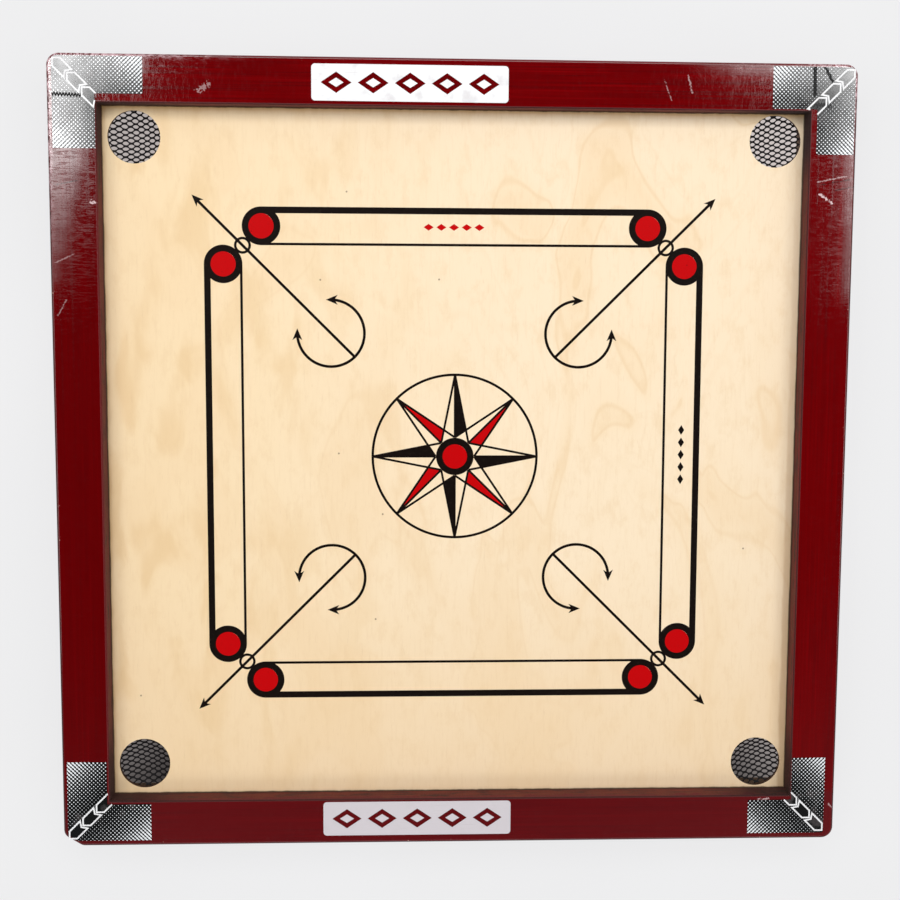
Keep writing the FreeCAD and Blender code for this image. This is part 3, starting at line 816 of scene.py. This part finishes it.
def print_star(black, red):
    """The centre circle and ring, and the eight-pointed star between them."""
    black.ring((0, 0), CIRCLE_RADIUS, CIRCLE_LINE, steps=160)
    tip_radius = CIRCLE_RADIUS - CIRCLE_LINE / 2
    eighth = math.pi / 4
    tips = [Vector((math.sin(i * eighth), math.cos(i * eighth))) * tip_radius for i in range(8)]
    bases = [tip * (STAR_BASE / tip_radius) for tip in tips]
    for i, tip in enumerate(tips):
        clockwise = (i + 1) % 8
        edge_end = meeting(tip, bases[clockwise], tips[clockwise], bases[i])
        plates = black if i % 2 == 0 else red
        plates.tile([tuple(tip), tuple(edge_end), tuple(bases[i])])
        for end in (bases[i - 1], bases[i], bases[clockwise]):
            black.stroke([tuple(tip), tuple(end)], STAR_LINE)
    print_circle(black, red, (0, 0))


def steps_about_middle(count, pitch):
    """How far each of an odd number of things in a row is from the row's middle."""
    return [(number - count // 2) * pitch for number in range(count)]


def lozenge(middle, length, width):
    """The outline of a lozenge that is longest in x."""
    x, y = middle
    return [(x - length / 2, y), (x, y - width / 2), (x + length / 2, y), (x, y + width / 2)]


def print_marks(black, red):
    """The two rows of small plain lozenges between the base lines."""
    (red_start, red_row), red_size = RED_MARKS
    (black_start, black_row), black_size = BLACK_MARKS
    for step in steps_about_middle(MARKS, MARK_PITCH):
        red.tile(lozenge((red_start + step, red_row), *red_size))
        black.tile([(y, x) for x, y in lozenge((black_start + step, black_row), *black_size)])


def print_panel():
    """All the ink on the panel: one red piece and two black ones."""
    black_ink = ink("ink_black", screen(17, 9, 6), screen(36, 26, 20))
    red_ink = ink("ink_red", screen(195, 0, 5), screen(180, 8, 10))
    red = Plates(PANEL_TOP, INK * 0.7, printed_in_red)
    lines = Plates(PANEL_TOP, INK, printed)
    star = Plates(PANEL_TOP, INK, printed)
    print_bases(lines, red)
    print_arrows(lines)
    print_star(star, red)
    print_marks(lines, red)
    red.piece("printed_red", red_ink, "birch_ply")
    lines.piece("printed_lines", black_ink, "birch_ply")
    star.piece("printed_star", black_ink, "birch_ply")


# --- stickers and ornaments on the rails ---

# One side of an arrow on a sticker, from its notch to its tip, and where the first arrow starts.
STICKER_ARROW = [(0.0, 0.0), (6.3, 0.0), (15.3, 9.0), (10.0, 10.0)]
ARROW_START = (1.0, 2.0)
ARROW_PITCH = 11.5
ARROW_OUTLINE = 1.3
ARROWS = 3
STICKER_INK = 0.03
WINDOWS = 5
WINDOW_PITCH = 30.0
WINDOW_LOZENGE = (12.0, 7.5)
WINDOW_FILM = 0.1


def walk_inside(points, limit):
    """The start of a line of (u, v) points, up to where v passes the limit."""
    kept = [points[0]]
    for before, after in zip(points, points[1:]):
        if after[1] > limit:
            share = (limit - before[1]) / (after[1] - before[1])
            kept.append(tuple(b + (a - b) * share for b, a in zip(before, after)))
            return kept, True
        kept.append(after)
    return kept, False


def arm_widths(node):
    """How wide a sticker's upright and level arms are, from the corners of its mesh."""
    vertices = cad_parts[node].data.vertices
    widths = []
    for axis in (0, 1):
        places = sorted({round(abs(vertex.co[axis]) / MM, 2) for vertex in vertices})
        widths.append(places[-1] - places[1])
    return widths


def draw_sticker_arrows(corner, material):
    """The row of outlined arrows along a sticker's mitre, cut off where the sticker ends."""
    node = f"corner_sticker_{corner}"
    tip_x, tip_y = sticker_tip(corner)
    side_x, side_y = CORNERS[corner]
    arm_x, arm_y = arm_widths(node)
    plates = Plates(box_mm(node)[1].z, STICKER_INK)
    for number in range(ARROWS):
        start = [place + number * ARROW_PITCH for place in ARROW_START]
        side_u = [(start[0] + u, start[1] + v) for u, v in STICKER_ARROW]
        side_v = [(start[1] + v, start[0] + u) for v, u in STICKER_ARROW]
        kept_u, cut_u = walk_inside(side_u, arm_y)
        kept_v, cut_v = walk_inside(side_v, arm_x)
        line = [(u, v) for v, u in reversed(kept_v)] + kept_u[1:]
        whole = not (cut_u or cut_v)
        if whole:
            line = line[:-1]
        drawn = [(tip_x - side_x * u, tip_y - side_y * v) for u, v in line]
        plates.stroke(drawn, ARROW_OUTLINE, closed=whole)
    plates.piece(f"sticker_arrows_{corner}", material, "sticker_vinyl")


def draw_window_lozenges(node, name, material):
    """A small white lozenge in each window of a rail's ornament."""
    middle = middle_mm(node)
    plates = Plates(RAIL_TOP, WINDOW_FILM)
    for step in steps_about_middle(WINDOWS, WINDOW_PITCH):
        plates.tile(lozenge((middle.x + step, middle.y), *WINDOW_LOZENGE))
    plates.piece(name, material, "white_transfer")


# --- pocket nets ---

# The net's meshes: how far apart their columns and rows are, half of a mesh's flat side, the size of
# the hole in it, and how pointed the hole's ends are.
NET_COLUMN = 4.42
NET_ROW = 4.53
NET_FLAT = 1.45
NET_HOLE = (5.0, 2.9)
NET_HOLE_POINT = 0.35
NET_CORD = 0.9
NET_SAG = 7.5
NET_MOUTH = 21.8
NET_REACH = 24.2
# How far the knots wander, how quickly that changes from knot to knot, and the seed that keeps it alike.
NET_WANDER = 0.35
NET_WANDER_RATE = 0.21
NET_WANDER_SEED = 1
RAIL_CLEARANCE = 0.6
# How far the net's rows and its columns lean, in degrees, as each was stretched by hand.
NET_LEAN = {
    "far_left": (0.0, 1.6),
    "far_right": (7.5, 2.2),
    "near_left": (4.5, 5.0),
    "near_right": (10.0, 8.0),
}
# The hem's section, as radii and heights from the panel's underside, and how much and how often it puckers.
HEM_SECTION = [(22.3, 0.0), (22.6, -0.75), (24.9, -0.8), (25.4, -0.35), (25.3, 0.0)]
HEM_STEPS = 72
HEM_PUCKER = 0.12
HEM_PUCKER_RATE = 3


def net_drop(radius):
    """How far below its rim the net hangs, at a distance from the pocket's middle."""
    share = min(radius / NET_MOUTH, 1.0)
    return NET_SAG * (1 - share * share)


def between_rails(place):
    """A coordinate held a little inside the rails' inner faces."""
    limit = HALF_OPENING - RAIL_CLEARANCE
    return max(-limit, min(limit, place))


def hole_outline():
    """One open mesh of the net, a pointed oval."""
    width, height = NET_HOLE
    outline = []
    for step in range(12):
        angle = step * math.pi / 6
        point = abs(math.sin(angle)) ** NET_HOLE_POINT
        outline.append((width / 2 * math.cos(angle), height / 2 * math.sin(angle) * point))
    return outline


def cell_outline():
    """The middle line of the cord around one open mesh, a hexagon shared with its neighbours."""
    point = NET_COLUMN - NET_FLAT
    half = NET_ROW / 2
    corners = [(point, 0), (NET_FLAT, half), (-NET_FLAT, half),
               (-point, 0), (-NET_FLAT, -half), (NET_FLAT, -half)]
    outline = []
    for corner, following in zip(corners, corners[1:] + corners[:1]):
        outline.append(corner)
        outline.append(((corner[0] + following[0]) / 2, (corner[1] + following[1]) / 2))
    return outline


def knit_net(corner, middle):
    """The net's cords as a sagging mesh of hexagons around pointed holes, without thickness."""
    row_lean, column_lean = (math.radians(angle) for angle in NET_LEAN[corner])
    across = Vector((math.cos(row_lean), math.sin(row_lean)))
    up = Vector((-math.sin(column_lean), math.cos(column_lean)))
    rim_height = PANEL_BOTTOM - NET_CORD * 0.6
    mesh = bmesh.new()
    shared = {}

    def knot(p, q):
        key = (round(p, 3), round(q, 3))
        if key not in shared:
            flat = across * p + up * q
            flat *= min(1.0, NET_REACH / max(flat.length, 0.001))
            wander = noise.noise_vector(Vector((flat.x, flat.y, middle.x)) * NET_WANDER_RATE) * NET_WANDER
            x = between_rails(middle.x + flat.x + wander.x)
            y = between_rails(middle.y + flat.y + wander.y)
            shared[key] = mesh.verts.new(Vector((x, y, rim_height - net_drop(flat.length))) * MM)
        return shared[key]

    reach = int(NET_REACH / min(NET_COLUMN, NET_ROW)) + 2
    for column in range(-reach, reach + 1):
        for row in range(-reach, reach + 1):
            p = column * NET_COLUMN
            q = (row + (column % 2) / 2) * NET_ROW
            if (across * p + up * q).length > NET_REACH:
                continue
            cord = [knot(p + i, q + j) for i, j in cell_outline()]
            hole = [knot(p + i, q + j) for i, j in hole_outline()]
            join_rows(mesh, cord, hole)
    return mesh


def make_net(corner, material):
    """A knitted net with its knots thicker than its cords, stretched under the pocket and sagging."""
    middle = pocket_middle(corner)
    net = make_piece(f"net_{corner}", knit_net(corner, middle), material)
    thick = net.modifiers.new("thick", "SOLIDIFY")
    thick.thickness = NET_CORD * MM
    thick.offset = 0.0
    rounded = net.modifiers.new("rounded", "SUBSURF")
    rounded.levels = rounded.render_levels = 1
    settle(net)
    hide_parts(f"pocket_net_{corner}")
    hem = make_hem(corner, middle, material)


def make_hem(corner, middle, material):
    """The folded tape around the net's edge, which the staples go through."""
    mesh = bmesh.new()
    loops = []
    for step in range(HEM_STEPS):
        angle = 2 * math.pi * step / HEM_STEPS
        cosine = math.cos(angle)
        sine = math.sin(angle)
        place = Vector((cosine * HEM_PUCKER_RATE, sine * HEM_PUCKER_RATE, middle.x))
        pucker = HEM_PUCKER * noise.noise(place)
        loop = []
        for radius, height in HEM_SECTION:
            x = between_rails(middle.x + radius * cosine)
            y = between_rails(middle.y + radius * sine)
            z = PANEL_BOTTOM + height + (pucker if height < 0 else 0.0)
            loop.append(mesh.verts.new(Vector((x, y, z)) * MM))
        loops.append(loop)
    for first, second in zip(loops, loops[1:] + loops[:1]):
        join_rows(mesh, first, second)
    return make_piece(f"net_hem_{corner}", mesh, material)


def settle(piece):
    """Turn a piece's modifiers into its mesh, and smooth its shading."""
    evaluated = piece.evaluated_get(bpy.context.evaluated_depsgraph_get())
    data = bpy.data.meshes.new_from_object(evaluated)
    piece.modifiers.clear()
    piece.data = data
    for polygon in data.polygons:
        polygon.use_smooth = True


# --- the whole board ---


def clothe_node(node, material):
    """Give a CAD node its material."""
    for material_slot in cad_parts[node].material_slots:
        material_slot.material = material


def clothe_board():
    """Give the wood and the fasteners their materials."""
    coats = [
        (rail_paint("rail_paint_x", "X"), ["far_rail", "near_rail"]),
        (rail_paint("rail_paint_y", "Y"), ["left_rail", "right_rail"]),
        (ply("birch_ply"), ["playing_panel"]),
        (bare_wood("batten_wood_x", "X"), ["batten_far", "batten_near"]),
        (bare_wood("batten_wood_y", "Y"), ["batten_left", "batten_right"]),
        (steel("nail_steel", screen(150, 146, 140), screen(96, 62, 44)), ["corner_nails", "batten_nails"]),
        (steel("staple_steel", screen(196, 194, 188), screen(120, 96, 80)), ["net_staples"]),
    ]
    for material, nodes in coats:
        for node in nodes:
            clothe_node(node, material)


def dress_rails():
    """The stickers on the corners and the ornaments on the far and the near rail."""
    white = white_vinyl("white_vinyl", screen(244, 244, 244))
    dulled = white_vinyl("dulled_vinyl", screen(212, 205, 209))
    for corner in CORNERS:
        clothe_node(f"corner_sticker_{corner}", sticker(corner))
        draw_sticker_arrows(corner, white)
    for node, material in (("far_rail_transfer", white), ("near_rail_transfer", dulled)):
        clothe_node(node, material)
        draw_window_lozenges(node, f"{node}_lozenges", material)


def hang_nets():
    """One net under each pocket."""
    noise.seed_set(NET_WANDER_SEED)
    cord = net_cord("net_cord")
    for corner in CORNERS:
        make_net(corner, cord)


# --- floor, light and camera ---

# Places of the floor, the lights and the camera are in metres.
FLOOR_SIZE = 8.0
# The floor is this far below the board, so that the two never share a plane.
FLOOR_GAP = 0.0002
ROOM_LIGHT = 0.90
CAMERA_PLACE = (-0.0295, 0.1689, 1.2643)
PANEL_HEIGHT = 1.8
# Softboxes on all sides of the board, turned to its middle: the place, the width, the depth and the power.
SOFTBOXES = [
    ("far_softbox", (0.0, 1.15, 1.8), 1.8, 0.7, 20.0),
    ("near_softbox", (0.0, -1.55, 1.8), 1.8, 0.7, 5.5),
    ("left_softbox", (-1.3, 0.0, 1.8), 1.4, 0.6, 7.0),
    ("right_softbox", (1.4, 0.0, 1.8), 1.4, 0.6, 8.0),
]

# Level light panels overhead, each seen as glare in the gloss of one patch of the frame's top:
# the patch's edges in x and in y, in millimetres, and the panel's brightness.
GLARE_PATCHES = [
    ("left_tip", (-345, -300), (300, 345), 24.0),
    ("left_corner", (-345, -302), (262, 300), 16.0),
    ("far_left_rim", (-300, -256), (320, 345), 15.0),
    ("far_left", (-300, -258), (309, 320), 7.0),
    ("right_tip", (312, 345), (312, 345), 24.0),
    ("right_corner", (319, 345), (262, 312), 10.0),
    ("far_right_rim", (262, 312), (321, 345), 11.0),
    ("far_right", (262, 312), (311, 321), 5.0),
    ("far_rail_rim", (226, 262), (323, 345), 6.5),
    ("far_rail_end", (204, 226), (327, 345), 3.5),
    ("right_rim", (325, 345), (200, 262), 9.0),
    ("right_rim_end", (327, 345), (140, 200), 6.0),
]
# The wedge of glare on the left rail, in steps from its far end: the far end's y, the outer and the
# inner side's x, each step's length, and how much narrower and dimmer each is than the last.
WEDGE_STEPS = 5
WEDGE_START = 262
WEDGE_OUTER = -345
WEDGE_INNER = -304
WEDGE_LENGTH = 23
WEDGE_NARROWING = 5
WEDGE_BRIGHTNESS = 11.0
WEDGE_DIMMING = 0.64


def glare_patches():
    """The patches of glare, with a wedge on the left rail that narrows and dims towards the near player."""
    patches = list(GLARE_PATCHES)
    for step in range(WEDGE_STEPS):
        inner = WEDGE_INNER - WEDGE_NARROWING * step
        far = WEDGE_START - WEDGE_LENGTH * step
        brightness = WEDGE_BRIGHTNESS * WEDGE_DIMMING ** step
        patches.append((f"left_wedge_{step}", (WEDGE_OUTER, inner), (far - WEDGE_LENGTH, far), brightness))
    return patches


def make_floor():
    """The floor that the board stands on."""
    bpy.ops.mesh.primitive_plane_add(size=FLOOR_SIZE, location=(0, 0, -FLOOR_GAP))
    floor = bpy.context.object
    floor.name = "floor"
    floor.data.materials.append(floor_paint("floor"))


def add_softbox(name, place, target, width, depth, power):
    """A rectangular light that shines from a place on a target, and that no camera sees."""
    light = bpy.data.lights.new(name, "AREA")
    light.shape = "RECTANGLE"
    light.size = width
    light.size_y = depth
    light.energy = power
    lamp = bpy.data.objects.new(name, light)
    lamp.location = place
    lamp.rotation_euler = (Vector(target) - Vector(place)).to_track_quat("-Z", "Y").to_euler()
    lamp.visible_camera = False
    bpy.context.scene.collection.objects.link(lamp)


def panel_edge(place, axis):
    """Where an edge of a light panel is, for the gloss of the frame's top to mirror it at a place in mm."""
    top = RAIL_TOP * MM
    spread = (PANEL_HEIGHT - top) / (CAMERA_PLACE[2] - top)
    return place * MM + (place * MM - CAMERA_PLACE[axis]) * spread


def light_room():
    """A pale room, brightest low down and dark straight overhead."""
    world = bpy.data.worlds.new("studio")
    world.use_nodes = True
    tree = world.node_tree
    direction = tree.nodes.new("ShaderNodeTexCoord").outputs["Generated"]
    upward = split(tree, direction)[2]
    room = upward.rise(0.955, 0.79) * (upward.rise(0.30, 0.12) * 0.42 + 0.565) + 0.015
    background = tree.nodes["Background"]
    background.inputs["Color"].default_value = screen(240, 242, 244)
    plug(room * ROOM_LIGHT, background.inputs["Strength"])
    bpy.context.scene.world = world


def light_scene():
    """The room, with softboxes on all sides of the board and light panels above it."""
    light_room()
    for name, place, width, depth, power in SOFTBOXES:
        add_softbox(name, place, (0.0, 0.0, 0.0), width, depth, power)
    for name, x_edges, y_edges, brightness in glare_patches():
        left, right = (panel_edge(x, 0) for x in x_edges)
        near, far = (panel_edge(y, 1) for y in y_edges)
        x = (left + right) / 2
        y = (near + far) / 2
        width = right - left
        depth = far - near
        power = brightness * math.pi * width * depth
        add_softbox(name, (x, y, PANEL_HEIGHT), (x, y, 0.0), width, depth, power)


def place_camera():
    """The camera, where the photographer's was."""
    camera = bpy.data.cameras.new("camera")
    camera.sensor_width = 36.0
    camera.lens = 58.94
    camera.shift_x = -0.0467
    camera.shift_y = -0.0359
    holder = bpy.data.objects.new("camera", camera)
    right = Vector((0.99881, 0.00829, 0.04814))
    up = Vector((-0.00306, 0.99418, -0.10773))
    back = right.cross(up)
    holder.matrix_world = Matrix.Translation(CAMERA_PLACE) @ Matrix((right, up, back)).transposed().to_4x4()
    bpy.context.scene.collection.objects.link(holder)
    bpy.context.scene.camera = holder


def set_film():
    """Plain screen colours, without a film look."""
    settings = bpy.context.scene.view_settings
    settings.view_transform = "Standard"
    settings.look = "None"
    settings.exposure = 0.0


clothe_board()
print_panel()
dress_rails()
hang_nets()
make_floor()
light_scene()
place_camera()
set_film()
